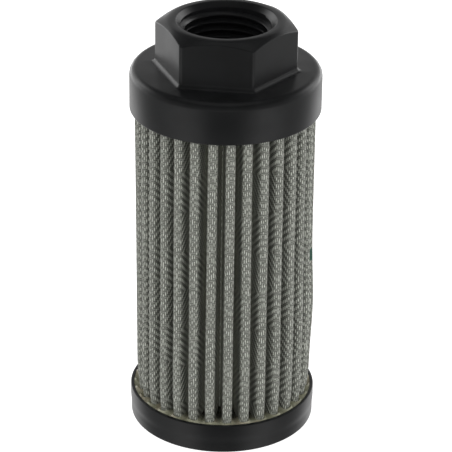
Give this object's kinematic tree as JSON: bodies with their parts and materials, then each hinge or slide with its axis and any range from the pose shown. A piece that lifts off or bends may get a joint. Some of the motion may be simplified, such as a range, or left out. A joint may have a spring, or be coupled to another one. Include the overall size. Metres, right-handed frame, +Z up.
{
  "type": "hydraulic suction strainer",
  "caption": "Round suction strainer: pleated wire cloth on a perforated tube, resin-bedded in a base cap and a moulded end cap with a hexagon boss and female pipe-thread port.",
  "frame": {"origin": "centre of the base cap's flat underside", "axes": "+Z up along the strainer's axis and out of the port, +X towards a corner of the hexagon boss"},
  "size_m": [0.044, 0.044, 0.1006],
  "materials": {
    "moulded_nylon": "black glass-filled nylon, satin as moulded",
    "bedding_resin": "cast olive-grey epoxy, glossy",
    "wire_cloth": "plain-woven stainless wire, dull",
    "perforated_sheet": "zinc-plated perforated sheet"
  },
  "bodies": {
    "root": {"threaded_end_cap": "moulded_nylon", "upper_resin": "bedding_resin", "pleated_cloth": "wire_cloth", "support_tube": "perforated_sheet", "lower_resin": "bedding_resin", "base_cap": "moulded_nylon"}
  },
  "joints": []
}
